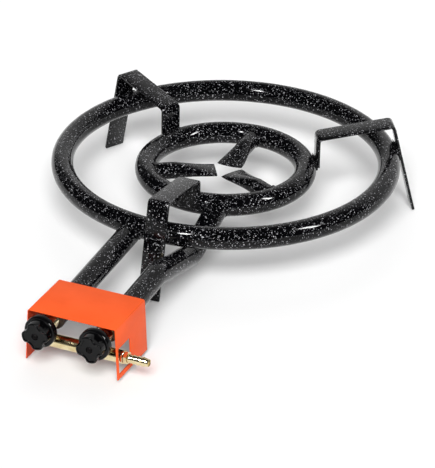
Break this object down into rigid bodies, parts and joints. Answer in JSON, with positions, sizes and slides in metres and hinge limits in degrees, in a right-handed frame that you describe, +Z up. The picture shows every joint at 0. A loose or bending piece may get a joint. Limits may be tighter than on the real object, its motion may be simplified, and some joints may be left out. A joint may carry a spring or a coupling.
{
  "type": "paella burner",
  "caption": "Gas burner with two concentric enamelled tube rings on bent pan supports, fed through long tubes by needle valves under a sheet cover.",
  "frame": {"origin": "middle of the footprint's bounding box, on the ground", "axes": "+Z up, the control knobs face -Y, the hose nozzle leaves towards +X"},
  "size_m": [0.3804, 0.5886, 0.1038],
  "materials": {
    "black_enamel": "glossy black enamel with fine white speckles",
    "orange_paint": "smooth satin orange paint",
    "brass": "turned and polished",
    "bare_steel": "dull, browned by heat",
    "black_plastic": "glossy moulded black",
    "seal_rubber": "matt"
  },
  "bodies": {
    "burner": {"outer_ring": "black_enamel", "inner_ring": "black_enamel", "inner_spur_rear": "black_enamel", "inner_spur_left": "black_enamel", "inner_spur_right": "black_enamel", "pan_support_front": "black_enamel", "pan_support_right": "black_enamel", "pan_support_left": "black_enamel", "outer_feed_tube": "black_enamel", "inner_feed_tube": "black_enamel", "valve_cover": "orange_paint", "gas_manifold": "brass", "manifold_end_plug": "brass", "hose_nozzle": "brass", "mixer_plate_left": "bare_steel", "mixer_plate_right": "bare_steel", "locknut_left": "brass", "locknut_right": "brass", "valve_body_left": "brass", "valve_body_right": "brass", "gland_nut_left": "brass", "gland_nut_right": "brass", "injector_left": "brass", "injector_right": "brass"},
    "seal_left": {"spindle_seal_left": "seal_rubber"},
    "seal_right": {"spindle_seal_right": "seal_rubber"},
    "knob_left": {"control_knob_left": "black_plastic", "knob_screw_left": "bare_steel", "spindle_left": "brass"},
    "knob_right": {"control_knob_right": "black_plastic", "knob_screw_right": "bare_steel", "spindle_right": "brass"}
  },
  "joints": [
    {"name": "spindle_rise_left", "type": "slide", "parent": "burner", "child": "seal_left", "axis": [0, -1, 0], "range_m": [0, 0.0015]},
    {"name": "spindle_rise_right", "type": "slide", "parent": "burner", "child": "seal_right", "axis": [0, -1, 0], "range_m": [0, 0.0015]},
    {"name": "knob_turn_left", "type": "hinge", "parent": "seal_left", "child": "knob_left", "pos_m": [-0.02976, -0.28, 0.0456], "axis": [0, -1, 0], "range_deg": [0, 540]},
    {"name": "knob_turn_right", "type": "hinge", "parent": "seal_right", "child": "knob_right", "pos_m": [0.03024, -0.28, 0.0456], "axis": [0, -1, 0], "range_deg": [0, 540]}
  ],
  "couplings": [
    {"joint": "spindle_rise_left", "follows": "knob_turn_left", "m_per_rad": 0.00015915},
    {"joint": "spindle_rise_right", "follows": "knob_turn_right", "m_per_rad": 0.00015915}
  ]
}
